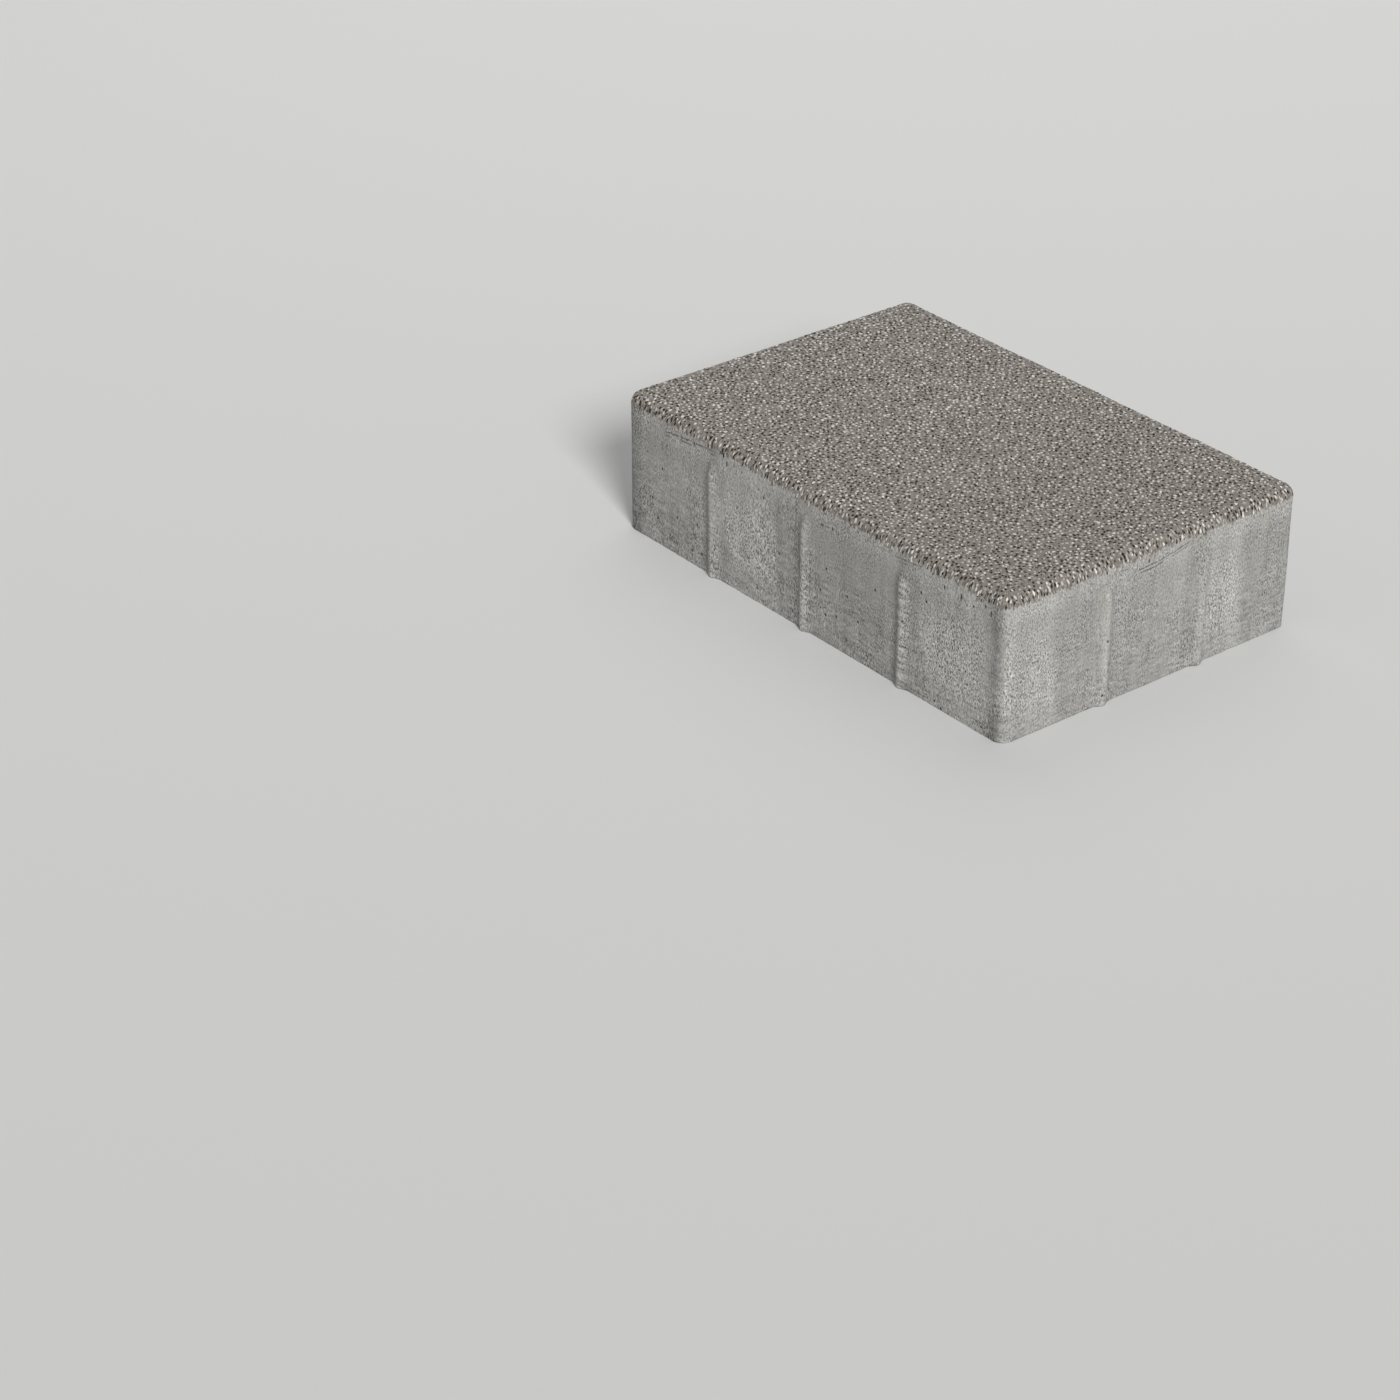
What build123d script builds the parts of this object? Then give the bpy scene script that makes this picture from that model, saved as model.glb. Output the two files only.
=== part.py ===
from build123d import *
import math
import os

# Block, in millimetres: the laying grid less one joint gives the body of the stone
raster_length = 300.0
raster_width = 200.0
joint_gap = 2.0
height = 80.0

# Edges: the walking face is rounded all round, the foot is left sharp as it stood on its pallet
arris_radius = 6.2
corner_surplus = 0.5  # how much rounder an upright corner is than the arris that turns round it

# Spacer ribs: round-nosed, standing on the foot, faired into the side, run out below the arris
rib_depth = 2.45
rib_nose_radius = 3.3
rib_skirt_radius = 8.0
rib_set_back = 14.0  # from the walking face down to where a rib has run out
rib_run_out_radius = 18.0
long_side_rib_pitch = 75.0
short_side_rib_pitch = 66.0

# Worked out
length = raster_length - joint_gap
width = raster_width - joint_gap
corner_radius = arris_radius + corner_surplus
nose_centre = rib_depth - rib_nose_radius  # out from the face of the side
run_out_centre = rib_depth - rib_run_out_radius
run_out_angle = math.acos(-run_out_centre / rib_run_out_radius)
rib_straight = height - rib_set_back - rib_run_out_radius * math.sin(run_out_angle)


def rib_places(side, pitch):
    """Places along a side, even about its middle: one rib on each inner line of the pitch."""
    count = max(1, round(side / pitch) - 1)
    return [(index - (count - 1) / 2) * pitch for index in range(count)]


def rib_seats(facing, side, reach, pitch):
    """Seats on the side that faces this many degrees round from +Y, as far out as reach."""
    turned = Location((0, 0, 0), (0, 0, facing))
    return [turned * Location((place, reach, 0)) for place in rib_places(side, pitch)]


# One rib upright on the foot, with the face of the side at Y = 0 and the nose towards +Y.
# Its round bar goes straight up, then leans back along an arc until it is inside the stone.
with BuildPart() as rib:
    with BuildSketch() as nose:
        with Locations((0, nose_centre - rib_nose_radius / 2)):
            SlotCenterToCenter(rib_nose_radius, 2 * rib_nose_radius, rotation=90)
    extrude(amount=rib_straight)
    with BuildSketch(Plane.XY.offset(rib_straight)):
        add(nose.sketch)
    revolve(
        axis=Axis((0, run_out_centre, rib_straight), (1, 0, 0)),
        revolution_arc=2 * math.degrees(run_out_angle),
    )

# The stone is pressed in one piece: body, arris, then the ribs with a fair curve at their skirts
with BuildPart() as paving_stone:
    with BuildSketch():
        RectangleRounded(length, width, corner_radius)
    extrude(amount=height)
    fillet(paving_stone.edges().group_by(Axis.Z)[-1], arris_radius)
    seats = []
    for facing in (0, 180):
        seats += rib_seats(facing, length, width / 2, long_side_rib_pitch)
        seats += rib_seats(facing + 90, width, length / 2, short_side_rib_pitch)
    with Locations(*seats):
        add(rib.part)
    fillet(paving_stone.edges(Select.NEW), rib_skirt_radius)

paving_stone.part.label = "paving_stone"
os.makedirs("parts", exist_ok=True)
export_step(paving_stone.part, "parts/paving_stone.step")
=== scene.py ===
import bpy
import math
import numpy as np
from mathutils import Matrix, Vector


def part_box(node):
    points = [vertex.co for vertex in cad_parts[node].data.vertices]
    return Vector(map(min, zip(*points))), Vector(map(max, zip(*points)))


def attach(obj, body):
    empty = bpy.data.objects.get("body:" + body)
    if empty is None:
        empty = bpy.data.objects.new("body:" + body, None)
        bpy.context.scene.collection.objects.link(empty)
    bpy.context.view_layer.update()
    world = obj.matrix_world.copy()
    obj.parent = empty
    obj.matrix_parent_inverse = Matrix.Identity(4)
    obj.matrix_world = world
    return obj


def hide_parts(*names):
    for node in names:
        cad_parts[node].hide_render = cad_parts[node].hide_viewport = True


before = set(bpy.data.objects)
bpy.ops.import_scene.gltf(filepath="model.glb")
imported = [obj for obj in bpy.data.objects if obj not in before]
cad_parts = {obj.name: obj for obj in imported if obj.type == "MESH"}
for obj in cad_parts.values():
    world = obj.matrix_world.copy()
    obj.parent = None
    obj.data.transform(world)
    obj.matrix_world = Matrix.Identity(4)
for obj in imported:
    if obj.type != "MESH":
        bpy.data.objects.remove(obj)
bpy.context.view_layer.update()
millimetre = 0.001


# A colour written as sRGB hex, turned linear
def linearColour(hexText):
    channels = [int(hexText[i:i + 2], 16) / 255 for i in (1, 3, 5)]
    linear = [c / 12.92 if c <= 0.04045 else ((c + 0.055) / 1.055) ** 2.4 for c in channels]
    return (*linear, 1.0)


# Adds a node, gives it its settings and fills its inputs with values or links
def addNode(tree, kind, inputs=None, stops=None, **settings):
    new = tree.nodes.new(kind)
    for name, value in settings.items():
        setattr(new, name, value)
    for socket, value in (inputs or {}).items():
        sources = value if isinstance(value, list) else [value]
        for source in sources:
            if isinstance(source, bpy.types.NodeSocket):
                tree.links.new(source, new.inputs[socket])
            else:
                new.inputs[socket].default_value = source
    if stops:
        ramp = new.color_ramp.elements
        while len(ramp) < len(stops):
            ramp.new(1.0)
        for element, (position, colour) in zip(ramp, stops):
            element.position = position
            element.color = linearColour(colour)
    return new


# Camera: the photograph's own view, stone in the upper right of the frame
view = {
    "place": (1.2206, -1.12895, 0.87876),
    "direction": (-0.6803, 0.5363, -0.4995),
    "lens": 91.57,
    "film": 36.0,
    "farthest": 50.0,
}


def setCamera():
    data = bpy.data.cameras.new("productCamera")
    data.lens = view["lens"]
    data.sensor_width = view["film"]
    data.clip_end = view["farthest"]
    camera = bpy.data.objects.new("productCamera", data)
    camera.location = view["place"]
    camera.rotation_euler = Vector(view["direction"]).to_track_quat("-Z", "Y").to_euler()
    bpy.context.scene.collection.objects.link(camera)
    bpy.context.scene.camera = camera


# Studio: a pale floor, an even room, a wide key far off the short side's end and a soft fill behind
studio = {
    "floorColour": "#dededc",
    "floorSize": 14.0,
    "floorDrop": 0.0001,
    "floorRoughness": 0.9,
    "floorSpecular": 0.1,
    "airColour": "#f4f5f7",
    "airStrength": 0.32,
    "backdropColour": "#e6e6e4",
    "keyFrom": (0.775, -0.33, 0.539),
    "keyAngle": 17.0,
    "keyStrength": 2.55,
    "fillFrom": (-1.0, 0.9, 1.7),
    "fillSize": 2.0,
    "fillPower": 8.0,
}


def buildStudio():
    size = studio["floorSize"] / 2
    level = -studio["floorDrop"]
    mesh = bpy.data.meshes.new("studioFloor")
    corners = [(-size, -size, level), (size, -size, level), (size, size, level), (-size, size, level)]
    mesh.from_pydata(corners, [], [(0, 1, 2, 3)])
    floor = bpy.data.objects.new("studioFloor", mesh)
    bpy.context.scene.collection.objects.link(floor)
    paper = bpy.data.materials.new("mattStudioPaper")
    paper.use_nodes = True
    shader = paper.node_tree.nodes["Principled BSDF"]
    shader.inputs["Base Color"].default_value = linearColour(studio["floorColour"])
    shader.inputs["Roughness"].default_value = studio["floorRoughness"]
    shader.inputs["Specular IOR Level"].default_value = studio["floorSpecular"]
    mesh.materials.append(paper)

    world = bpy.data.worlds.new("studioRoom")
    world.use_nodes = True
    bpy.context.scene.world = world
    tree = world.node_tree
    tree.nodes.clear()
    rays = addNode(tree, "ShaderNodeLightPath")
    seen = rays.outputs["Is Camera Ray"]
    for ray in ("Is Glossy Ray", "Is Transmission Ray"):
        seen = addNode(tree, "ShaderNodeMath", {0: seen, 1: rays.outputs[ray]},
                       operation="MAXIMUM").outputs[0]
    air = addNode(tree, "ShaderNodeBackground",
                  {"Color": linearColour(studio["airColour"]), "Strength": studio["airStrength"]})
    backdrop = addNode(tree, "ShaderNodeBackground",
                       {"Color": linearColour(studio["backdropColour"]), "Strength": 1.0})
    mixed = addNode(tree, "ShaderNodeMixShader", {0: seen, 1: air.outputs[0], 2: backdrop.outputs[0]})
    addNode(tree, "ShaderNodeOutputWorld", {"Surface": mixed.outputs[0]})

    key = bpy.data.lights.new("keyLamp", "SUN")
    key.angle = math.radians(studio["keyAngle"])
    key.energy = studio["keyStrength"]
    fill = bpy.data.lights.new("fillLamp", "AREA")
    fill.shape = "DISK"
    fill.size = studio["fillSize"]
    fill.energy = studio["fillPower"]
    for data, place in ((key, studio["keyFrom"]), (fill, studio["fillFrom"])):
        lamp = bpy.data.objects.new(data.name, data)
        lamp.location = place
        lamp.rotation_euler = (-Vector(place)).to_track_quat("-Z", "Y").to_euler()
        bpy.context.scene.collection.objects.link(lamp)
    bpy.context.scene.view_settings.view_transform = "Standard"


# Cast stone, in millimetres: the block and its spacer ribs, with the relief of mould and blasting
castStone = {
    "cornerRadius": 6.7,
    "arrisRadius": 6.2,
    "ribDepth": 2.45,
    "ribNoseRadius": 3.3,
    "ribSkirtRadius": 8.0,
    "ribSetBack": 14.0,
    "ribRunOutRadius": 18.0,
    "longSideRibs": (-75.0, 0.0, 75.0),
    "shortSideRibs": (-33.0, 33.0),
    "ribReach": 12.0,        # farther than this from its middle a rib has no effect on the side
    "columnPitch": 1.25,
    "rowPitch": 1.3,
    "firstRow": 0.5,         # height of the first row above the foot's edge
    "cornerColumns": 9,
    "arrisRows": 9,
    "blastDepth": 0.24,      # how far the blast took the skin back between the grains
    "blastEdge": 73.4,       # height where the blasted face gives way to the mould-struck side
    "blastRagged": (1.4, 0.8),   # that line's waver: reach in columns, then how far it goes up and down
    "blastFade": (0.6, 1.2),     # from how far above the line the skin goes back, and over what height
    # Relief fields: reach along rows and columns, in cells, then depth
    "sideRelief": ((9, 0.6, 0.045), (12, 12, 0.1), (0.5, 0.5, 0.028)),  # drag marks, slow waves, grit
    "topRelief": ((0.8, 0.8, 0.05), (18, 18, 0.1)),                     # pits between grains, slow waves
    # Chips of the foot's edge: the deepest, their reach in columns, the ends of the field that are kept
    "footChip": (0.35, 1.6, 0.2, 2.2),
    "seed": 11,
    # Paler, rougher upright patches of each side, where the mix stuck to the mould: middle, half width and
    # strength. They fade towards the foot and the arris
    "palePatches": (((116.0, 22.0, 1.0), (-42.0, 21.0, 0.95)),
                    ((-85.0, 19.0, 0.8), (52.0, 15.0, 0.9)),
                    ((64.0, 24.0, 0.9), (-104.0, 26.0, 1.0)),
                    ((26.0, 19.0, 0.8), (-72.0, 15.0, 0.7))),
    "paleHeights": (0.0, 10.0, 20.0, 45.0, 60.0, 74.0),
    "paleLevels": (0.45, 0.5, 1.0, 1.0, 0.55, 0.35),
    "paleRagged": (7, 4, 3.0),   # waver of their edges: reach along rows and columns in cells, then swing
    "paleFade": 8.0,
    # Painted shade: each side is painted darker beside its ribs, far more on the long sides
    "ribShade": (0.5, 0.05, 0.5, 0.05),  # how much darker each side is beside its ribs
    "ribShadeReach": 8.0,
    # How strongly each rib shows the cross strokes of a worn mould
    "ribComb": ((0.35, 0.5, 1.0), (0.1, 0.15), (0.6, 0.3, 0.4), (0.2, 0.1)),
    "combRise": (2, 0.2),     # they show at this many times the share of the rib's depth, less the second
    # Painted shade: the long sides are painted darker beside the upright corners, over this width in mm
    "cornerShade": 0.9,
    "cornerShadeWidth": 7.0,
    "toneTurn": (0.2, 0.55),  # shares of a corner's turn between which one side's pale patches and painted shade become the next one's
    "seamFade": 4.0,
    # The seams under the facing mix on each side: strength, then places along the side and heights
    "seams": (((1.0, (-117.0, 68.2), (-100.0, 70.6), (-71.0, 73.0)),
               (0.5, (8.0, 66.5), (27.0, 69.3)),
               (0.9, (66.0, 70.2), (91.0, 72.9))),
              ((1.0, (-16.0, 67.3), (0.0, 68.5), (12.0, 70.3), (25.0, 73.2)),
               (0.9, (-61.0, 68.3), (-50.0, 66.4)),
               (0.5, (-42.0, 66.2), (-35.0, 67.1), (-28.0, 66.2))),
              ((1.0, (-34.0, 67.0), (-12.0, 69.4), (12.0, 72.6)),
               (0.7, (80.0, 71.8), (114.0, 67.2))),
              ((0.9, (-64.0, 71.8), (-40.0, 68.6), (-18.0, 67.0)),)),
}


# A random field of unit spread, smoothed over a reach in cells, its ends meeting
def smoothField(rows, columns, rowReach, columnReach, seed):
    field = np.random.RandomState(seed).standard_normal((rows, columns))
    rowWave = np.fft.fftfreq(rows)[:, None] * rowReach
    columnWave = np.fft.fftfreq(columns)[None, :] * columnReach
    blur = np.exp(-2 * (math.pi ** 2) * (rowWave ** 2 + columnWave ** 2))
    field = np.real(np.fft.ifft2(np.fft.fft2(field) * blur))
    return (field - field.mean()) / field.std()


# Several random fields added up, each with its reach along rows and columns and its depth
def reliefField(rows, columns, fields, seed):
    return sum(smoothField(rows, columns, rowReach, columnReach, seed + i) * depth
               for i, (rowReach, columnReach, depth) in enumerate(fields))


# How far a spacer rib stands out, at a distance across from its middle and a height
def ribProfile(across, height, top):
    s = castStone
    nose = s["ribNoseRadius"]
    skirt = s["ribSkirtRadius"]
    runOutCentre = s["ribRunOutRadius"] - s["ribDepth"]
    runOut = math.sqrt(s["ribRunOutRadius"] ** 2 - runOutCentre ** 2)
    climb = np.clip(height - (top - s["ribSetBack"] - runOut), 0, runOut)
    fall = s["ribRunOutRadius"] - np.sqrt(s["ribRunOutRadius"] ** 2 - climb ** 2)
    centre = s["ribDepth"] - nose - fall
    foot = np.sqrt(np.maximum((nose + skirt) ** 2 - (skirt - centre) ** 2, 0))
    across = np.abs(across)
    onNose = centre + np.sqrt(np.maximum(nose ** 2 - across ** 2, 0))
    onSkirt = skirt - np.sqrt(np.maximum(skirt ** 2 - (across - foot) ** 2, 0))
    out = np.where(across < foot * nose / (nose + skirt), onNose, np.where(across < foot, onSkirt, 0))
    return np.maximum(out, 0)


# The outline: points of the inner rectangle and the way out from each, counter-clockwise from above
def walkOutline(halfLength, halfWidth, longCells, shortCells):
    points, ways, sides, along = [], [], [], []
    corners = [(-halfLength, -halfWidth), (halfLength, -halfWidth),
               (halfLength, halfWidth), (-halfLength, halfWidth)]
    for side in range(4):
        start = np.array(corners[side])
        end = np.array(corners[(side + 1) % 4])
        turn = -math.pi / 2 + side * math.pi / 2
        cells = longCells if side % 2 == 0 else shortCells
        for i in range(cells + 1):
            spot = start + (end - start) * i / cells
            points.append(spot)
            ways.append((math.cos(turn), math.sin(turn)))
            sides.append(side)
            along.append(spot @ np.array((-math.sin(turn), math.cos(turn))))
        for i in range(1, castStone["cornerColumns"]):
            share = i / castStone["cornerColumns"]
            angle = turn + share * math.pi / 2
            points.append(end)
            ways.append((math.cos(angle), math.sin(angle)))
            sides.append(side if share < 0.5 else (side + 1) % 4)
            along.append(None)
    return np.array(points), np.array(ways), sides, along


def buildStone(material):
    s = castStone
    low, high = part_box("paving_stone")
    size = (Vector(high) - Vector(low)) / millimetre
    top = size.z
    halfLength = size.x / 2 - s["ribDepth"] - s["cornerRadius"]
    halfWidth = size.y / 2 - s["ribDepth"] - s["cornerRadius"]
    longCells = round(2 * halfLength / s["columnPitch"])
    shortCells = round(2 * halfWidth / s["columnPitch"])
    points, ways, sides, along = walkOutline(halfLength, halfWidth, longCells, shortCells)
    columns = len(points)

    # Rows: up the side, then over the arris
    shoulder = top - s["arrisRadius"]
    sideRows = round(shoulder / s["rowPitch"])
    heights = [0.0, s["firstRow"]] + [shoulder * j / sideRows for j in range(1, sideRows + 1)]
    bends = [0.0] * len(heights) + [math.pi / 2 * j / s["arrisRows"] for j in range(1, s["arrisRows"] + 1)]
    rows = len(bends)
    bends = np.array(bends)
    rowHeights = np.array(heights + [shoulder] * s["arrisRows"]) + s["arrisRadius"] * np.sin(bends)
    rowReach = s["cornerRadius"] - s["arrisRadius"] * (1 - np.cos(bends))

    # What each place of the sides has: how far out it lies, its rib and strokes, its pale patches with
    # painted shade beside ribs and corners, and its seam
    reach = rowReach[:, None] + np.zeros((rows, columns))
    ribs, comb, pale, seam, seamLevel = np.zeros((5, rows, columns))
    combTimes, combLess = s["combRise"]
    edgeRows, edgeColumns, edgeSwing = s["paleRagged"]
    paleEdge = smoothField(rows, columns, edgeRows, edgeColumns, s["seed"] + 7) * edgeSwing
    paleRise = np.interp(rowHeights, s["paleHeights"], s["paleLevels"])
    for i in range(columns):
        if along[i] is None:
            continue
        seats = s["longSideRibs"] if sides[i] % 2 == 0 else s["shortSideRibs"]
        for seat, combed in zip(seats, s["ribComb"][sides[i]]):
            if abs(along[i] - seat) < s["ribReach"]:
                profile = ribProfile(np.full(rows, along[i] - seat), rowHeights, top) * (bends == 0)
                ribs[:, i] += profile
                comb[:, i] += np.clip(profile / s["ribDepth"] * combTimes - combLess, 0, 1) * combed
            # painted shade beside each rib, kept in the same field as the pale patches
            pale[:, i] -= s["ribShade"][sides[i]] * math.exp(-((along[i] - seat) / s["ribShadeReach"]) ** 2)
        strength, *course = min(s["seams"][sides[i]],
                                key=lambda c: max(c[1][0] - along[i], along[i] - c[-1][0]))
        inside = min(along[i] - course[0][0], course[-1][0] - along[i])
        seam[:, i] = strength * min(max(inside / s["seamFade"], 0), 1)
        seamLevel[:, i] = np.interp(along[i], *zip(*course))
        cornerAway = (halfWidth if sides[i] % 2 else halfLength) - abs(along[i])
        # painted shade on the long sides next to each corner
        if sides[i] % 2 == 0:
            pale[:, i] -= s["cornerShade"] * math.exp(-(cornerAway / s["cornerShadeWidth"]) ** 2)
        for middle, half, strength in s["palePatches"][sides[i]]:
            inside = (half - abs(along[i] - middle) + paleEdge[:, i]) / s["paleFade"]
            pale[:, i] += np.clip(inside + 0.5, 0, 1) * paleRise * strength
    # Round a corner the pale patches and painted shade go over from one side's to the next one's
    turned = [s["cornerColumns"] * share for share in s["toneTurn"]]
    for i in range(columns):
        if along[i] is None and along[i - 1] is not None:
            after = (i + s["cornerColumns"] - 1) % columns
            for k in range(s["cornerColumns"] - 1):
                share = min(max((k + 1 - turned[0]) / (turned[1] - turned[0]), 0), 1)
                pale[:, i + k] = pale[:, i - 1] * (1 - share) + pale[:, after] * share
    reach += ribs
    relief = reliefField(rows, columns, s["sideRelief"], s["seed"])

    # The blast took back the arris, down to a ragged line
    raggedReach, raggedSwing = s["blastRagged"]
    fadeStart, fadeHeight = s["blastFade"]
    ragged = s["blastEdge"] + smoothField(1, columns, 1, raggedReach, s["seed"] + 3)[0] * raggedSwing
    blasted = np.clip((rowHeights[:, None] - ragged[None, :] - fadeStart) / fadeHeight, 0, 1)
    relief = relief - blasted * s["blastDepth"]

    # The foot's edge is a little broken
    chip, chipReach, least, most = s["footChip"]
    broken = np.clip(smoothField(1, columns, 1, chipReach, s["seed"] + 4)[0], least, most) * chip / most
    relief[0] = relief[1] - broken
    out = reach + relief * np.cos(bends)[:, None]
    up = rowHeights[:, None] + relief * np.sin(bends)[:, None]
    ring = np.empty((rows, columns, 3))
    ring[:, :, :2] = points + ways * out[:, :, None]
    ring[:, :, 2] = up
    ring[0, :, 2] = 0

    # The walking face, a grid between the four sides
    gridRelief = reliefField(shortCells + 1, longCells + 1, s["topRelief"], s["seed"] + 5)
    grid = np.empty((shortCells + 1, longCells + 1, 3))
    grid[:, :, 0] = np.linspace(-halfLength, halfLength, longCells + 1)[None, :]
    grid[:, :, 1] = np.linspace(-halfWidth, halfWidth, shortCells + 1)[:, None]
    grid[:, :, 2] = top - s["blastDepth"] + gridRelief
    vertices = np.vstack([ring.reshape(-1, 3), grid.reshape(-1, 3)])
    gridCount = grid.shape[0] * grid.shape[1]
    onSides = {"blasted": blasted, "rib": ribs / s["ribDepth"], "pale": pale, "seam": seam,
               "seamLevel": seamLevel, "comb": comb}
    onFace = {"blasted": 1.0}  # the other attributes are nought on the walking face

    # Which grid vertex each column of the outline meets
    gridStart = rows * columns
    meets = []
    for i in range(columns):
        x = round((points[i, 0] + halfLength) / (2 * halfLength) * longCells)
        y = round((points[i, 1] + halfWidth) / (2 * halfWidth) * shortCells)
        meets.append(gridStart + y * (longCells + 1) + x)

    # The unrolled map: walking face, foot and four side strips, laid out on one sheet
    sheet, scale, footScale, gap = 1024.0, 2.28, 1.1, 4.0  # side and gap in pixels, scales in pixels per mm
    outline = points + ways * s["cornerRadius"]
    outlineStep = np.hypot(*(np.roll(outline, -1, axis=0) - outline).T)
    rise = np.concatenate([rowHeights[bends == 0], shoulder + s["arrisRadius"] * bends[bends > 0]])
    stripTop = gap * 2 + 2 * (halfWidth + 1) * scale
    stripHeight = (rise[-1] + 1) * scale + gap
    stripWidth = (2 * halfWidth + s["cornerRadius"] * 2) * scale + gap
    stripCorner = [(gap, stripTop), (gap, stripTop + 2 * stripHeight), (gap, stripTop + stripHeight),
                   (gap * 2 + stripWidth, stripTop + 2 * stripHeight)]

    faces, map2d = [], []
    firstColumn = {sides[i]: i for i in range(columns) if sides[i - 1] != sides[i]}
    unrolled = {}
    for side in range(4):
        place = 0.0
        i = firstColumn[side]
        while sides[i] == side:
            unrolled[(side, i)] = place
            place += outlineStep[i]
            i = (i + 1) % columns
        unrolled[(side, i)] = place
    for j in range(rows - 1):
        for i in range(columns):
            k = (i + 1) % columns
            side = sides[i]
            corner = stripCorner[side]
            left = corner[0] + unrolled[(side, i)] * scale
            right = corner[0] + unrolled[(side, k)] * scale
            lower = corner[1] + rise[j] * scale
            upper = corner[1] + rise[j + 1] * scale
            faces.append((j * columns + i, j * columns + k, (j + 1) * columns + k, (j + 1) * columns + i))
            map2d += [(left, lower), (right, lower), (right, upper), (left, upper)]

    def flatMap(index, factor=scale, shift=(gap, gap)):
        return (shift[0] + (vertices[index, 0] + halfLength + 1) * factor,
                shift[1] + (vertices[index, 1] + halfWidth + 1) * factor)

    last = (rows - 1) * columns
    for i in range(columns):
        k = (i + 1) % columns
        face = (last + i, last + k, meets[k], meets[i])
        if meets[i] == meets[k]:
            face = face[:3]
        faces.append(face)
        map2d += [flatMap(index) for index in face]
    for y in range(shortCells):
        for x in range(longCells):
            a = gridStart + y * (longCells + 1) + x
            face = (a, a + 1, a + longCells + 2, a + longCells + 1)
            faces.append(face)
            map2d += [flatMap(index) for index in face]
    foot = tuple(range(columns - 1, -1, -1))
    faces.append(foot)
    footShift = (gap * 5 + (2 * halfLength + 2) * scale, gap * 4)
    map2d += [flatMap(index, footScale, footShift) for index in foot]

    mesh = bpy.data.meshes.new("cast_stone")
    mesh.from_pydata((vertices * millimetre).tolist(), [], faces)
    smooth = np.ones(len(faces), dtype=bool)
    smooth[-1] = False
    mesh.polygons.foreach_set("use_smooth", smooth)
    for name, values in onSides.items():
        values = np.concatenate([values.ravel(), np.full(gridCount, onFace.get(name, 0.0))])
        mesh.attributes.new(name, "FLOAT", "POINT").data.foreach_set("value", values)
    layer = mesh.uv_layers.new(name="OFBake")
    layer.data.foreach_set("uv", (np.array(map2d) / sheet).ravel())
    mesh.materials.append(material)
    mesh.update()
    stone = bpy.data.objects.new("cast_stone", mesh)
    bpy.context.scene.collection.objects.link(stone)
    print("stone:", len(mesh.vertices), "vertices,", sum(len(f) - 2 for f in faces), "triangles")
    return stone


# A material with an empty node tree, and that tree
def newMaterial(name):
    material = bpy.data.materials.new(name)
    material.use_nodes = True
    material.node_tree.nodes.clear()
    return material, material.node_tree


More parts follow.
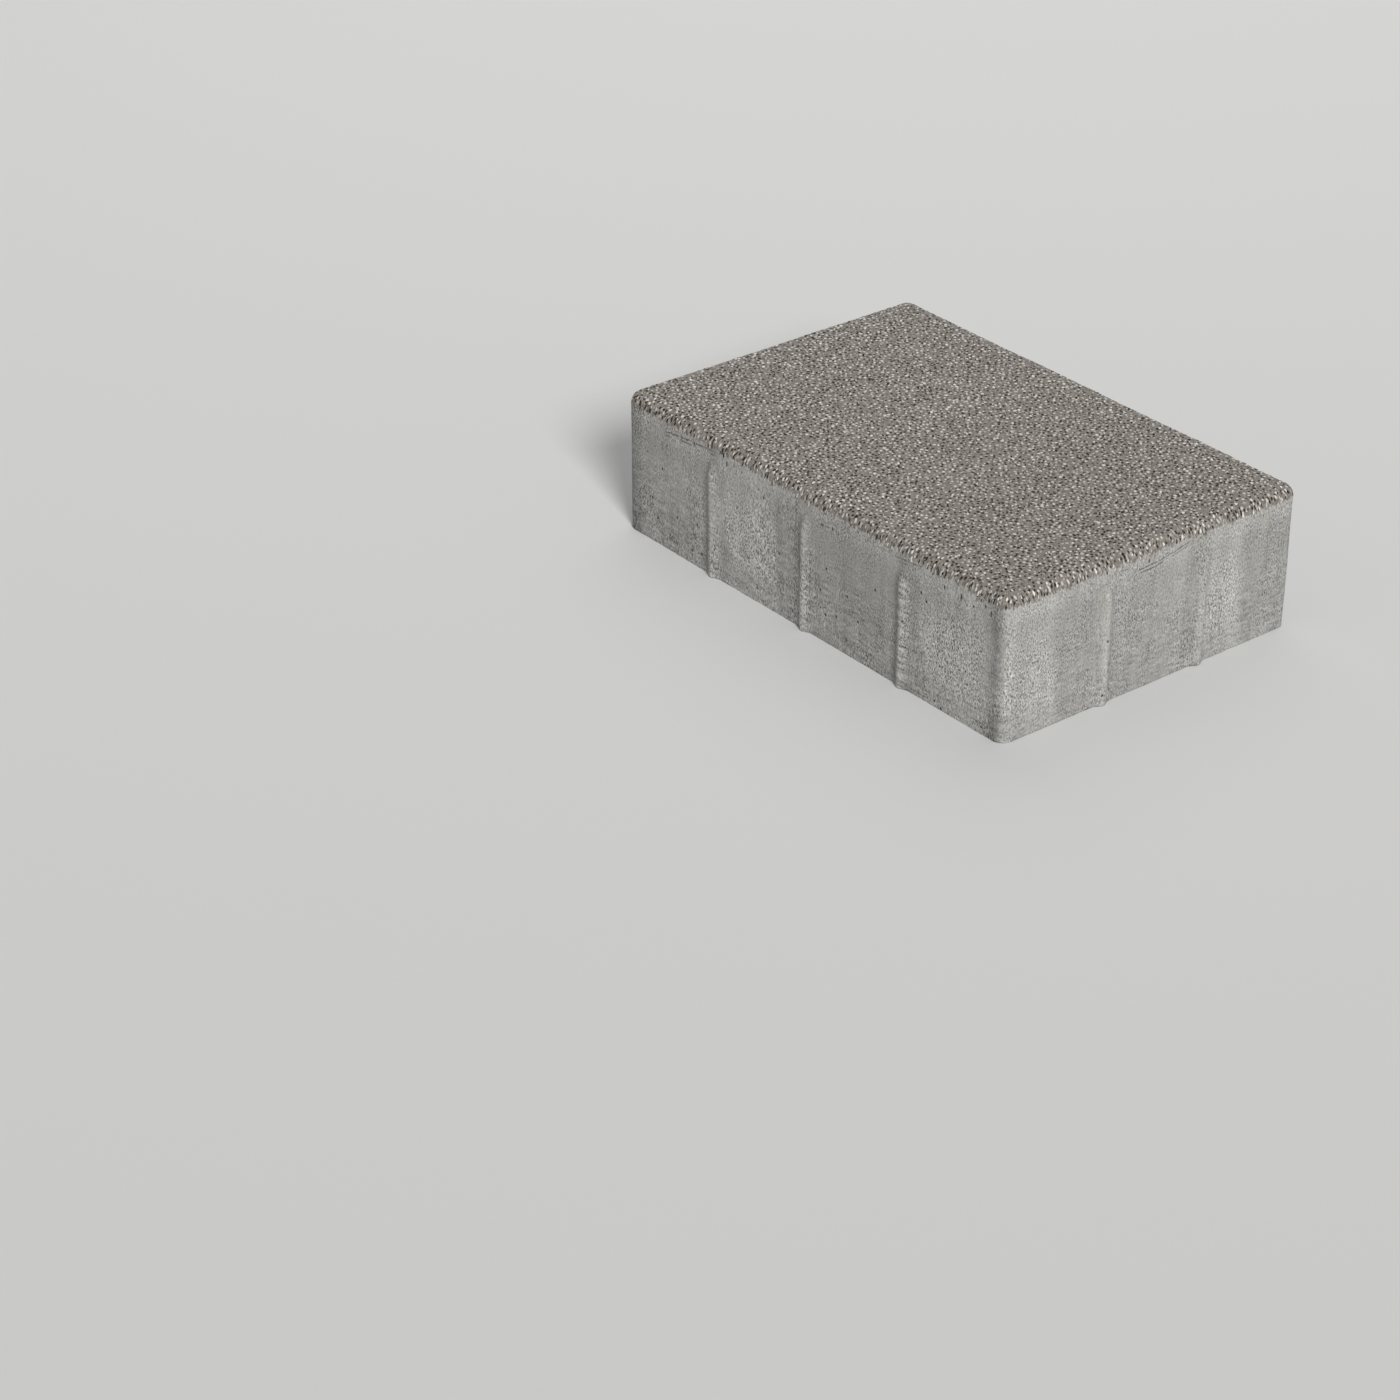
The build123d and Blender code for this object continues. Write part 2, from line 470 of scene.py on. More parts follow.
# Mould-struck concrete: pressed earth-damp against steel, so it is matt, grey and finely pored, with upright
# drag marks from the stripping; its walking face was blasted, which lays bare a brown mortar between grains
pressedConcrete = {
    "side": "#9a9996",
    "facing": "#a4a29e",      # the finer facing mix shows as a paler, warmer band under the arris
    "stain": "#98927c",
    # painted shade inside the blowholes and slits
    "pore": "#45433f",
    "crack": "#64625e",
    "mortar": "#8a837b",
    "mortarDark": "#716a62",
    "roughness": 0.88,
    "specular": 0.3,
    # Each pattern: its size in mm along x, y and z, detail, swing of the brightness, relief in mm
    "patterns": {
        "blotch": ((30, 30, 30), 3.0, 0.35, 0.0),
        "band": ((9, 9, 130), 2.0, 0.5, 0.0),
        "striation": ((1.2, 0.9, 11), 2.0, 0.35, 0.1),
        "grit": ((0.8, 0.8, 1.1), 1.0, 0.7, 0.3),
    },
    "mottle": ((0.54, 0.56, 1.3), 1.5, 5.2, 0.7),  # sand grains' own size, drawn strong so that they show
    "calmMottle": (0.27, 0.63),  # least and most share of the mottle outside the pale patches
    "calmPatch": ((15, 15, 25), 2.0, -0.08, 0.1),  # size, detail, noise levels of that least and most
    "ripple": ((9, 6, 1.8), 1.5, 0.8, 0.45),  # level waves low down, where the mix slumped against the mould
    "rippleTop": 60.0,
    # lifts the pale patches, and by the same factor darkens the painted shade beside ribs and corners
    "paleAndShadeSwing": 0.35,
    "crestHighlight": 0.24,        # painted highlight: the ribs' noses are painted paler
    "crestFrom": (0.35, 0.9),    # over this stretch of a rib's depth
    # Strokes across the ribs: distance apart and reach across in mm, rise for each mm across, noise levels
    # of trough and crest, swing of the brightness, relief in mm
    "combPitch": 1.6,
    "combReach": 10.0,
    "combSlope": -0.2,
    "combLevels": (0.4, 0.6),
    "combSwing": 0.45,
    "combRelief": 0.2,
    # The facing mix: its foot's height, that foot's waver and half the height it fades over
    "facingFoot": 65.0,
    "facingWaver": ((6, 6, 20), 2.0, 6.0),
    "facingFade": 3.0,
    # Stains: size and detail, the noise levels where they start and are full, their strength
    "stains": ((11, 11, 22), 3.0, 0.12, 0.26, 0.3),
    # Round blowholes, and upright slits just under the arris: width of their cells in mm, the same as a share
    # of their height, share of the cells that have none, radius of the widest in cells
    "holes": {"pore": (4.2, 0.8, 0.8, 0.18), "slit": (3.0, 0.3, 0.74, 0.2)},
    "holeFade": (0.06, 0.05),    # share of the cells with holes short of the widest, a rim's width in cells
    "holeRelief": -0.35,
    # Lines of a seam: how far below its course, sizes in mm of the noise that bends it and of the noise that
    # leaves stretches of it out, level where that starts to show it
    "seamLines": ((0.0, 7.0, 14.0, -0.3), (2.0, 9.0, 11.0, -0.06)),
    "seamWander": 1.6,
    "seamHalf": (0.5, 0.15),     # distances in mm from its middle where a line begins and where it is full
    "seamStart": 0.06,           # over how much of the noise's level a stretch comes up
    "seamBreaks": ((4, 4, 4), 2.0, -0.12, 0.1, 0.3),  # size, detail, noise levels, share left in a break
    "seamRelief": -0.25,
    "sand": ((0.6, 0.6, 4.8), 2.0, -0.15, 0.12),  # size, detail, noise levels of dark and pale mortar
    "blastWaver": ((2, 2, 16), 2.0, 7.0),         # size, detail, swing in mm
    "blastFade": (0.6, 1.4),     # heights above the blast's line where the mortar begins and where it is full
}


def makePressedConcrete():
    c = pressedConcrete
    material, tree = newMaterial("mouldStruckConcrete")
    place = addNode(tree, "ShaderNodeTexCoord")
    mm = addNode(tree, "ShaderNodeVectorMath", {0: place.outputs["Object"], "Scale": 1 / millimetre},
                 operation="SCALE").outputs[0]
    axes = addNode(tree, "ShaderNodeSeparateXYZ", {0: mm}).outputs
    pale = addNode(tree, "ShaderNodeAttribute", attribute_name="pale").outputs["Fac"]
    rib = addNode(tree, "ShaderNodeAttribute", attribute_name="rib").outputs["Fac"]

    # Noise of a size in mm along each axis, centred on nought
    def pattern(size, detail):
        drawn = addNode(tree, "ShaderNodeVectorMath", {0: mm, 1: size}, operation="DIVIDE")
        noise = addNode(tree, "ShaderNodeTexNoise",
                        {"Vector": drawn.outputs[0], "Scale": 1.0, "Detail": detail})
        return addNode(tree, "ShaderNodeMath", {0: noise.outputs["Fac"], 1: 0.5},
                       operation="SUBTRACT").outputs[0]

    # Brightness about one and relief in millimetres, both summed over the patterns
    # Pale patches raise the brightness; the painted shade beside ribs and corners, kept in the same
    # attribute, lowers it
    bright = addNode(tree, "ShaderNodeMath", {0: pale, 1: c["paleAndShadeSwing"], 2: 1.0},
                     operation="MULTIPLY_ADD").outputs[0]
    # Painted highlight along the ribs' noses
    crestFoot, crestTop = c["crestFrom"]
    crest = addNode(tree, "ShaderNodeMapRange",
                    {0: rib, 1: crestFoot, 2: crestTop, 3: 0.0, 4: c["crestHighlight"]}).outputs[0]
    bright = addNode(tree, "ShaderNodeMath", {0: bright, 1: crest}, operation="ADD").outputs[0]
    fields = [(pattern(size, detail), swing, depth) for size, detail, swing, depth in c["patterns"].values()]
    calmest, roughest = c["calmMottle"]
    size, detail, start, full = c["calmPatch"]
    rough = addNode(tree, "ShaderNodeMapRange",
                    {0: pattern(size, detail), 1: start, 2: full, 3: calmest, 4: roughest})
    rough = addNode(tree, "ShaderNodeMath", {0: rough.outputs[0], 1: pale}, operation="MAXIMUM")
    low = addNode(tree, "ShaderNodeMapRange", {0: axes["Z"], 1: c["rippleTop"], 2: c["rippleTop"] / 2})
    for name, share in (("mottle", rough.outputs[0]), ("ripple", low.outputs[0])):
        size, detail, swing, depth = c[name]
        part = addNode(tree, "ShaderNodeMath", {0: pattern(size, detail), 1: share}, operation="MULTIPLY")
        fields.append((part.outputs[0], swing, depth))
    relief = 0.0
    for field, swing, depth in fields:
        bright = addNode(tree, "ShaderNodeMath", {0: field, 1: swing, 2: bright},
                         operation="MULTIPLY_ADD").outputs[0]
        relief = addNode(tree, "ShaderNodeMath", {0: field, 1: depth, 2: relief},
                         operation="MULTIPLY_ADD").outputs[0]

    # Strokes that the mould left across the ribs
    across = addNode(tree, "ShaderNodeMath", {0: axes["X"], 1: axes["Y"]}, operation="ADD")
    slant = addNode(tree, "ShaderNodeMath", {0: across.outputs[0], 1: -c["combSlope"], 2: axes["Z"]},
                    operation="MULTIPLY_ADD")
    slanted = addNode(tree, "ShaderNodeCombineXYZ", {0: slant.outputs[0], 1: across.outputs[0]})
    drawn = addNode(tree, "ShaderNodeVectorMath",
                    {0: slanted.outputs[0], 1: (1 / c["combPitch"], 1 / c["combReach"], 0)},
                    operation="MULTIPLY")
    strokes = addNode(tree, "ShaderNodeTexNoise", {"Vector": drawn.outputs[0], "Scale": 1.0, "Detail": 0.5})
    start, full = c["combLevels"]
    strokes = addNode(tree, "ShaderNodeMapRange",
                      {0: strokes.outputs["Fac"], 1: start, 2: full, 3: -0.5, 4: 0.5})
    comb = addNode(tree, "ShaderNodeAttribute", attribute_name="comb").outputs["Fac"]
    combed = addNode(tree, "ShaderNodeMath", {0: strokes.outputs[0], 1: comb},
                     operation="MULTIPLY").outputs[0]
    bright = addNode(tree, "ShaderNodeMath", {0: combed, 1: c["combSwing"], 2: bright},
                     operation="MULTIPLY_ADD").outputs[0]
    relief = addNode(tree, "ShaderNodeMath", {0: combed, 1: c["combRelief"], 2: relief},
                     operation="MULTIPLY_ADD").outputs[0]

    # The facing mix under the arris and faint stains lower down
    size, detail, swing = c["facingWaver"]
    facingHeight = addNode(tree, "ShaderNodeMath", {0: pattern(size, detail), 1: swing, 2: axes["Z"]},
                           operation="MULTIPLY_ADD")
    facing = addNode(tree, "ShaderNodeMapRange",
                     {0: facingHeight.outputs[0], 1: c["facingFoot"] - c["facingFade"],
                      2: c["facingFoot"] + c["facingFade"]})
    base = addNode(tree, "ShaderNodeMix", {"Factor": facing.outputs[0], 6: linearColour(c["side"]),
                                           7: linearColour(c["facing"])}, data_type="RGBA")
    size, detail, start, full, strength = c["stains"]
    stained = addNode(tree, "ShaderNodeMapRange",
                      {0: pattern(size, detail), 1: start, 2: full, 3: 0.0, 4: strength})
    base = addNode(tree, "ShaderNodeMix", {"Factor": stained.outputs[0], 6: base.outputs[2],
                                           7: linearColour(c["stain"])}, data_type="RGBA")
    colour = addNode(tree, "ShaderNodeVectorMath", {0: base.outputs[2], "Scale": bright},
                     operation="SCALE").outputs[0]

    # Blowholes and slits, with painted shade inside them
    growth, rim = c["holeFade"]
    for name, (spacing, tall, least, widest) in c["holes"].items():
        drawn = addNode(tree, "ShaderNodeVectorMath", {0: mm, 1: (1 / spacing, 1 / spacing, tall / spacing)},
                        operation="MULTIPLY")
        cells = addNode(tree, "ShaderNodeTexVoronoi", {"Vector": drawn.outputs[0], "Scale": 1.0})
        chance = addNode(tree, "ShaderNodeSeparateColor", {0: cells.outputs["Color"]})
        wide = addNode(tree, "ShaderNodeMapRange",
                       {0: chance.outputs[0], 1: least, 2: least + growth, 3: 0.0, 4: widest})
        deep = addNode(tree, "ShaderNodeMath", {0: wide.outputs[0], 1: cells.outputs["Distance"]},
                       operation="SUBTRACT")
        hole = addNode(tree, "ShaderNodeMapRange", {0: deep.outputs[0], 1: 0.0, 2: rim}).outputs[0]
        if name == "slit":
            hole = addNode(tree, "ShaderNodeMath", {0: hole, 1: facing.outputs[0]},
                           operation="MULTIPLY").outputs[0]
        # painted shade: the hole is coloured dark
        colour = addNode(tree, "ShaderNodeMix", {"Factor": hole, 6: colour, 7: linearColour(c["pore"])},
                         data_type="RGBA").outputs[2]
        relief = addNode(tree, "ShaderNodeMath", {0: hole, 1: c["holeRelief"], 2: relief},
                         operation="MULTIPLY_ADD").outputs[0]

    # Two fine wandering seams where the facing mix meets the body mix
    seam = addNode(tree, "ShaderNodeAttribute", attribute_name="seam").outputs["Fac"]
    level = addNode(tree, "ShaderNodeAttribute", attribute_name="seamLevel").outputs["Fac"]
    upright = 900  # so tall in z that a pattern hardly changes over the stone's height
    lineEdge, lineCore = c["seamHalf"]
    size, detail, start, full, left = c["seamBreaks"]
    breaks = addNode(tree, "ShaderNodeMapRange",
                     {0: pattern(size, detail), 1: start, 2: full, 3: left, 4: 1.0}).outputs[0]
    for drop, bend, stretch, least in c["seamLines"]:
        course = addNode(tree, "ShaderNodeMath", {0: level, 1: drop}, operation="SUBTRACT")
        waver = pattern((bend, bend, upright), 3.0)
        wander = addNode(tree, "ShaderNodeMath", {0: waver, 1: c["seamWander"], 2: course.outputs[0]},
                         operation="MULTIPLY_ADD")
        off = addNode(tree, "ShaderNodeMath", {0: axes["Z"], 1: wander.outputs[0]}, operation="SUBTRACT")
        off = addNode(tree, "ShaderNodeMath", {0: off.outputs[0]}, operation="ABSOLUTE")
        line = addNode(tree, "ShaderNodeMapRange", {0: off.outputs[0], 1: lineEdge, 2: lineCore})
        shown = addNode(tree, "ShaderNodeMapRange",
                        {0: pattern((stretch, stretch, upright), 1.0), 1: least, 2: least + c["seamStart"]})
        shown = addNode(tree, "ShaderNodeMath", {0: shown.outputs[0], 1: seam}, operation="MULTIPLY")
        shown = addNode(tree, "ShaderNodeMath", {0: shown.outputs[0], 1: breaks}, operation="MULTIPLY")
        crack = addNode(tree, "ShaderNodeMath", {0: line.outputs[0], 1: shown.outputs[0]},
                        operation="MULTIPLY")
        colour = addNode(tree, "ShaderNodeMix",
                         {"Factor": crack.outputs[0], 6: colour, 7: linearColour(c["crack"])},
                         data_type="RGBA").outputs[2]
        relief = addNode(tree, "ShaderNodeMath", {0: crack.outputs[0], 1: c["seamRelief"], 2: relief},
                         operation="MULTIPLY_ADD").outputs[0]

    # Blasted skin: brown mortar and sand, in streaks where it turns down over the arris
    size, detail, start, full = c["sand"]
    mortar = addNode(tree, "ShaderNodeMapRange", {0: pattern(size, detail), 1: start, 2: full})
    mortar = addNode(tree, "ShaderNodeMix", {"Factor": mortar.outputs[0], 6: linearColour(c["mortarDark"]),
                                             7: linearColour(c["mortar"])}, data_type="RGBA")
    size, detail, swing = c["blastWaver"]
    ragged = addNode(tree, "ShaderNodeMath", {0: pattern(size, detail), 1: swing, 2: axes["Z"]},
                     operation="MULTIPLY_ADD")
    start, full = (castStone["blastEdge"] + height for height in c["blastFade"])
    blastMask = addNode(tree, "ShaderNodeMapRange", {0: ragged.outputs[0], 1: start, 2: full})
    colour = addNode(tree, "ShaderNodeMix", {"Factor": blastMask.outputs[0], 6: colour, 7: mortar.outputs[2]},
                     data_type="RGBA").outputs[2]

    bump = addNode(tree, "ShaderNodeBump", {"Height": relief, "Distance": millimetre})
    shader = addNode(tree, "ShaderNodeBsdfPrincipled",
                     {"Base Color": colour, "Roughness": c["roughness"], "Specular IOR Level": c["specular"],
                      "Normal": bump.outputs[0]})
    addNode(tree, "ShaderNodeOutputMaterial", {"Surface": shader.outputs[0]})
    return material


# Exposed grains, in millimetres. Each kind takes its share of one even scatter over the blasted face
grainField = {
    "spacing": 0.78,     # least distance between two grains
    "mostPerSquare": 8.0,
    "seed": 5,
    "shapes": 6,
    "block": (0.82, 0.82, 0.5),   # a grain's block before it is knocked about, in shares of its size
    "knock": (0.16, 0.16, 0.05),  # how far its corners are knocked out of true
    "twist": (1.0, 0.2),  # twist of the first shape per unit of height, and what each next one adds
    "sunk": 0.5,         # share of a grain's height that stays in the mortar
    "odd": ((0.8, 0.9, 0.8), (1.15, 1.35, 1.1)),  # least and most that a grain's lengths are times its size
    # How much longer, narrower and flatter grains are on the steep end of the arris, each with how level the
    # surface is, as its normal's z, where that starts and where it is full. The swing in tone likewise
    "stretch": (1.75, 0.95, 0.25),
    "narrow": (0.62, 0.95, 0.25),
    "flatter": (0.4, 0.8, 0.1),
    "tonedOver": (0.95, 0.7),
    "lie": 0.2,          # how far off the line of the slope grains lie
    "lean": 0.12,        # how far a grain leans out of the surface, in radians
    "spotsPerSquare": 0.34,  # spots tried on a square millimetre, for pale grains and for dark ones each
    "paleSpread": 2.25,  # least distance between two spots of pale grains, and between two of dark ones
    "darkSpread": 2.05,
    "speck": 0.35,       # size of the marks on a grain
    "speckSwing": 0.08,
    "speckRelief": 0.08,
    "specular": 0.2,
}
# Each kind's lots, sizes and tones; calm is the share of the swing in tone that shows on the flat face
grainKinds = {
    "quartz_grains": {"share": (0.0, 0.2), "size": (0.8, 1.55), "light": "#e5e2dc", "dark": "#b0aca6",
                      "calm": 1.0, "roughness": 0.45, "name": "splitQuartz"},
    "feldspar_grains": {"share": (0.2, 0.4), "size": (0.72, 1.2), "light": "#a9a39b", "dark": "#736d65",
                        "calm": 0.15, "roughness": 0.6, "name": "crushedFeldspar"},
    "granite_grains": {"share": (0.4, 0.6), "size": (0.72, 1.2), "light": "#a49e97", "dark": "#6e6861",
                       "calm": 0.15, "roughness": 0.7, "name": "crushedGranite"},
    "porphyry_grains": {"share": (0.6, 0.8), "size": (0.72, 1.2), "light": "#9f9992", "dark": "#69635c",
                        "calm": 0.15, "roughness": 0.7, "name": "crushedPorphyry"},
    "basalt_grains": {"share": (0.8, 1.0), "size": (0.82, 1.5), "light": "#332b24", "dark": "#130e0a",
                      "calm": 1.0, "roughness": 0.6, "name": "crushedBasalt"},
}


# One mineral: crushed stone with fresh matt faces, each grain a tone of its own
def makeGrainMaterial(kind):
    material, tree = newMaterial(kind["name"])
    tone = addNode(tree, "ShaderNodeAttribute", attribute_name="tone")
    ramp = addNode(tree, "ShaderNodeValToRGB", {0: tone.outputs["Fac"]},
                   stops=[(0.0, kind["dark"]), (1.0, kind["light"])])
    place = addNode(tree, "ShaderNodeTexCoord")
    speckScale = 1 / (grainField["speck"] * millimetre)
    speck = addNode(tree, "ShaderNodeTexNoise",
                    {"Vector": place.outputs["Object"], "Scale": speckScale, "Detail": 1.0})
    swing = grainField["speckSwing"]
    speckLevel = addNode(tree, "ShaderNodeMapRange",
                         {0: speck.outputs["Fac"], 1: 0.3, 2: 0.7, 3: 1 - swing, 4: 1 + swing})
    colour = addNode(tree, "ShaderNodeVectorMath", {0: ramp.outputs[0], "Scale": speckLevel.outputs[0]},
                     operation="SCALE")
    bump = addNode(tree, "ShaderNodeBump",
                   {"Height": speck.outputs["Fac"], "Distance": grainField["speckRelief"] * millimetre})
    shader = addNode(tree, "ShaderNodeBsdfPrincipled",
                     {"Base Color": colour.outputs[0], "Roughness": kind["roughness"],
                      "Specular IOR Level": grainField["specular"], "Normal": bump.outputs[0]})
    addNode(tree, "ShaderNodeOutputMaterial", {"Surface": shader.outputs[0]})
    return material


# The tree that scatters grains: one shared scatter, of which a modifier keeps the points of its share
def makeGrainTree():
    tree = bpy.data.node_groups.new("exposedGrains", "GeometryNodeTree")
    tree.interface.new_socket("Geometry", in_out="OUTPUT", socket_type="NodeSocketGeometry")
    tree.interface.new_socket("Geometry", in_out="INPUT", socket_type="NodeSocketGeometry")
    for name in ("Share From", "Share To", "Smallest", "Largest", "Calm"):
        tree.interface.new_socket(name, in_out="INPUT", socket_type="NodeSocketFloat")
    tree.interface.new_socket("Material", in_out="INPUT", socket_type="NodeSocketMaterial")
    given = addNode(tree, "NodeGroupInput").outputs
    g = grainField

    # Where the blast reached, points no nearer than the spacing
    blasted = addNode(tree, "GeometryNodeInputNamedAttribute", {"Name": "blasted"}, data_type="FLOAT")
    scatter = addNode(tree, "GeometryNodeDistributePointsOnFaces",
                      {"Mesh": given["Geometry"], "Distance Min": g["spacing"] * millimetre,
                       "Density Max": g["mostPerSquare"] / millimetre ** 2,
                       "Density Factor": blasted.outputs[0], "Seed": g["seed"]}, distribute_method="POISSON")
    # Each grain's lot: the middling kinds at random, a pale or dark one nearest to each of some random spots
    lot = addNode(tree, "FunctionNodeRandomValue", {2: 0.2, 3: 0.8, "Seed": 1}, data_type="FLOAT").outputs[1]
    position = addNode(tree, "GeometryNodeInputPosition").outputs[0]
    index = addNode(tree, "GeometryNodeInputIndex").outputs[0]
    for seed, spread, lotValue in ((g["seed"] + 1, "darkSpread", 0.9), (g["seed"] + 2, "paleSpread", 0.1)):
        spots = addNode(tree, "GeometryNodeDistributePointsOnFaces",
                        {"Mesh": given["Geometry"], "Distance Min": g[spread] * millimetre,
                         "Density Max": g["spotsPerSquare"] / millimetre ** 2,
                         "Density Factor": blasted.outputs[0], "Seed": seed},
                        distribute_method="POISSON").outputs["Points"]
        ownSpot = addNode(tree, "GeometryNodeSampleNearest", {0: spots})
        spotPlace = addNode(tree, "GeometryNodeSampleIndex",
                            {0: spots, 1: position, "Index": ownSpot.outputs[0]}, data_type="FLOAT_VECTOR")
        grainThere = addNode(tree, "GeometryNodeSampleNearest",
                             {0: scatter.outputs["Points"], 1: spotPlace.outputs[0]})
        near = addNode(tree, "FunctionNodeCompare", {2: grainThere.outputs[0], 3: index}, data_type="INT",
                       operation="EQUAL")
        lot = addNode(tree, "GeometryNodeSwitch", {0: near.outputs[0], 1: lot, 2: lotValue},
                      input_type="FLOAT").outputs[0]
    past = addNode(tree, "FunctionNodeCompare", {0: lot, 1: given["Share From"]},
                   data_type="FLOAT", operation="GREATER_EQUAL")
    before = addNode(tree, "FunctionNodeCompare", {0: lot, 1: given["Share To"]},
                     data_type="FLOAT", operation="LESS_THAN")
    chosen = addNode(tree, "FunctionNodeBooleanMath", {0: past.outputs[0], 1: before.outputs[0]},
                     operation="AND")

    # Shapes: a block twisted and knocked out of true, sunk to a share of its height
    shapes = []
    knockFrom = tuple(-reach for reach in g["knock"])
    firstTwist, moreTwist = g["twist"]
    rise = g["block"][2] * (0.5 - g["sunk"])
    for seed in range(g["shapes"]):
        block = addNode(tree, "GeometryNodeMeshCube", {"Size": g["block"]})
        knock = addNode(tree, "FunctionNodeRandomValue", {0: knockFrom, 1: g["knock"], "Seed": seed},
                        data_type="FLOAT_VECTOR")
        spot = addNode(tree, "GeometryNodeInputPosition")
        twist = addNode(tree, "ShaderNodeSeparateXYZ", {0: spot.outputs[0]})
        angle = addNode(tree, "ShaderNodeMath", {0: twist.outputs[2], 1: firstTwist + moreTwist * seed},
                        operation="MULTIPLY")
        turned = addNode(tree, "ShaderNodeVectorRotate",
                         {"Vector": spot.outputs[0], "Angle": angle.outputs[0]}, rotation_type="Z_AXIS")
        dropped = addNode(tree, "ShaderNodeVectorMath", {0: turned.outputs[0], 1: knock.outputs[0]},
                          operation="ADD")
        sunk = addNode(tree, "ShaderNodeVectorMath", {0: dropped.outputs[0], 1: (0, 0, rise)},
                       operation="ADD")
        moved = addNode(tree, "GeometryNodeSetPosition",
                        {"Geometry": block.outputs[0], "Position": sunk.outputs[0]})
        cut = addNode(tree, "GeometryNodeTriangulate", {"Mesh": moved.outputs[0]})
        shapes.append(cut.outputs[0])
    choice = addNode(tree, "GeometryNodeGeometryToInstance", {"Geometry": shapes})

    # Turned at random on the flat, drawn out down the slope on the arris
    normal = addNode(tree, "ShaderNodeSeparateXYZ", {0: scatter.outputs["Normal"]})
    upright = addNode(tree, "ShaderNodeVectorMath",
                      {0: scatter.outputs["Normal"], "Scale": normal.outputs[2]}, operation="SCALE")
    slope = addNode(tree, "ShaderNodeVectorMath", {0: upright.outputs[0], 1: (0, 0, 1)}, operation="SUBTRACT")
    off = g["lie"]
    lie = addNode(tree, "FunctionNodeRandomValue", {0: (-off, -off, 0.0), 1: (off, off, 0.0), "Seed": 2},
                  data_type="FLOAT_VECTOR")
    along = addNode(tree, "ShaderNodeVectorMath", {0: slope.outputs[0], 1: lie.outputs[0]}, operation="ADD")
    stand = addNode(tree, "FunctionNodeAxesToRotation",
                    {"Primary Axis": scatter.outputs["Normal"], "Secondary Axis": along.outputs[0]},
                    primary_axis="Z", secondary_axis="Y")
    tip = addNode(tree, "FunctionNodeRandomValue", {0: (-1, -1, 0), 1: (1, 1, 0), "Seed": 3},
                  data_type="FLOAT_VECTOR")
    lean = addNode(tree, "ShaderNodeMath", {0: normal.outputs[2], 1: g["lean"]}, operation="MULTIPLY")
    leaning = addNode(tree, "ShaderNodeVectorMath", {0: tip.outputs[0], "Scale": lean.outputs[0]},
                      operation="SCALE")
    tilt = addNode(tree, "FunctionNodeEulerToRotation", {0: leaning.outputs[0]})
    turned = addNode(tree, "FunctionNodeRotateRotation",
                     {"Rotation": stand.outputs[0], "Rotate By": tilt.outputs[0]}, rotation_space="LOCAL")
    girth = addNode(tree, "FunctionNodeRandomValue", {2: given["Smallest"], 3: given["Largest"], "Seed": 4},
                    data_type="FLOAT")
    least, most = g["odd"]
    odd = addNode(tree, "FunctionNodeRandomValue", {0: least, 1: most, "Seed": 6}, data_type="FLOAT_VECTOR")
    longer = addNode(tree, "ShaderNodeCombineXYZ")
    for axis, name in enumerate(("narrow", "stretch", "flatter")):
        reached, level, steep = g[name]
        times = addNode(tree, "ShaderNodeMapRange",
                        {0: normal.outputs[2], 1: level, 2: steep, 3: 1.0, 4: reached})
        tree.links.new(times.outputs[0], longer.inputs[axis])
    uneven = addNode(tree, "ShaderNodeVectorMath", {0: odd.outputs[0], 1: longer.outputs[0]},
                     operation="MULTIPLY")
    scale = addNode(tree, "ShaderNodeVectorMath", {0: uneven.outputs[0], "Scale": girth.outputs[1]},
                    operation="SCALE")
    pick = addNode(tree, "FunctionNodeRandomValue", {4: 0, 5: len(shapes) - 1, "Seed": 7}, data_type="INT")
    grains = addNode(tree, "GeometryNodeInstanceOnPoints",
                     {"Points": scatter.outputs["Points"], "Selection": chosen.outputs[0],
                      "Instance": choice.outputs[0], "Pick Instance": True, "Instance Index": pick.outputs[2],
                      "Rotation": turned.outputs[0], "Scale": scale.outputs[0]})
    # A tone for each grain between its kind's dark and light, nearer to the middle on the flat of the face
    shade = addNode(tree, "FunctionNodeRandomValue", {2: -0.5, 3: 0.5, "Seed": 8}, data_type="FLOAT")
    level, steep = g["tonedOver"]
    swing = addNode(tree, "ShaderNodeMapRange",
                    {0: normal.outputs[2], 1: level, 2: steep, 3: given["Calm"], 4: 1.0})
    tone = addNode(tree, "ShaderNodeMath", {0: shade.outputs[1], 1: swing.outputs[0], 2: 0.5},
                   operation="MULTIPLY_ADD")
    toned = addNode(tree, "GeometryNodeStoreNamedAttribute",
                    {"Geometry": grains.outputs[0], "Name": "tone", "Value": tone.outputs[0]},
                    data_type="FLOAT", domain="INSTANCE")
    real = addNode(tree, "GeometryNodeRealizeInstances", {0: toned.outputs[0]})
    painted = addNode(tree, "GeometryNodeSetMaterial",
                      {"Geometry": real.outputs[0], "Material": given["Material"]})
    addNode(tree, "NodeGroupOutput", {0: painted.outputs[0]})
    return tree


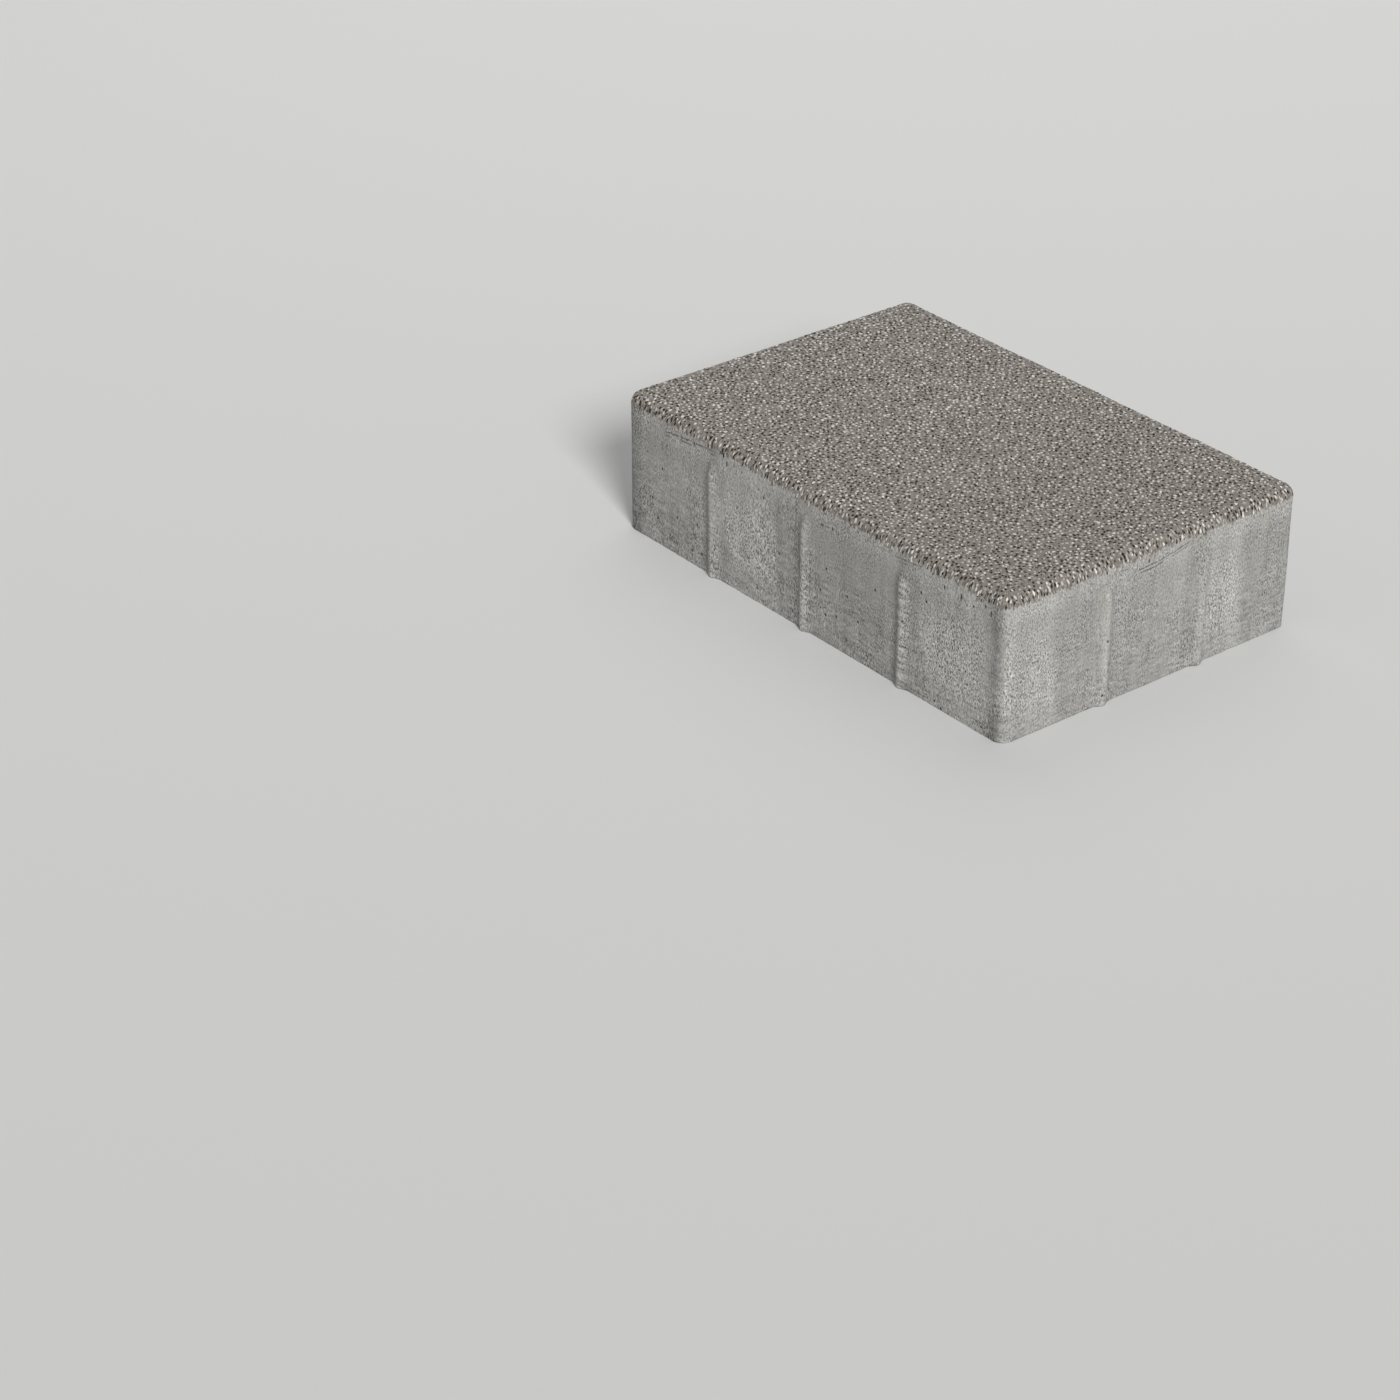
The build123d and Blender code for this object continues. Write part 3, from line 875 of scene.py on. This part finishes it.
# Scatters one kind of grain over the stone and returns it as a plain mesh object
def scatterGrains(name, kind, tree, stone):
    piece = bpy.data.objects.new(name, stone.data)
    bpy.context.scene.collection.objects.link(piece)
    scatter = piece.modifiers.new("grains", "NODES")
    scatter.node_group = tree
    values = {
        "Share From": kind["share"][0],
        "Share To": kind["share"][1],
        "Smallest": kind["size"][0] * millimetre,
        "Largest": kind["size"][1] * millimetre,
        "Calm": kind["calm"],
        "Material": makeGrainMaterial(kind),
    }
    for socket in tree.interface.items_tree:
        if socket.item_type == "SOCKET" and socket.in_out == "INPUT" and socket.name in values:
            scatter[socket.identifier] = values[socket.name]
    graph = bpy.context.evaluated_depsgraph_get()
    mesh = bpy.data.meshes.new_from_object(piece.evaluated_get(graph), preserve_all_data_layers=True,
                                           depsgraph=graph)
    piece.modifiers.clear()
    piece.data = mesh
    mesh.name = name
    for unused in ("blasted", "rib", "pale", "seam", "seamLevel", "comb", "id", "OFBake"):
        if unused in mesh.attributes:
            mesh.attributes.remove(mesh.attributes[unused])

    # The unrolled map: a square cell for each grain, its top and sides spread flat beside its underside
    blockCorners = 8
    halfTall = 0.44  # these are shares of a cell
    spreadMiddle, spreadHalf = 0.37, 0.31
    undersideMiddle, undersideHalf = 0.85, 0.09
    cellRow = math.ceil(math.sqrt(len(mesh.vertices) / blockCorners))
    corners = np.empty(len(mesh.loops), dtype=int)
    mesh.loops.foreach_get("vertex_index", corners)
    grain, corner = corners // blockCorners, corners % blockCorners
    across, along, upper = corner % 2 * 2 - 1, corner // 2 % 2 * 2 - 1, corner // 4
    underside = np.repeat(upper.reshape(-1, 3).sum(axis=1) == 0, 3)
    reach = np.where(upper == 1, 0.5, 1.0)
    inCell = np.where(underside, undersideMiddle + across * undersideHalf,
                      spreadMiddle + across * reach * spreadHalf)
    upCell = np.where(underside, 0.5 + along * halfTall, 0.5 + along * reach * halfTall)
    layer = mesh.uv_layers.new(name="OFBake")
    flat = np.stack([grain % cellRow + inCell, grain // cellRow + upCell], axis=1) / cellRow
    layer.data.foreach_set("uv", flat.ravel())
    print(name, len(mesh.vertices), "vertices,", len(mesh.polygons), "triangles")
    return piece


setCamera()
buildStudio()
print("camera and studio ready")
stone = buildStone(makePressedConcrete())
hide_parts("paving_stone")
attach(stone, "root")
grainTree = makeGrainTree()
for grainName, grainKind in grainKinds.items():
    grains = scatterGrains(grainName, grainKind, grainTree, stone)
    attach(grains, "root")
print("grains laid")
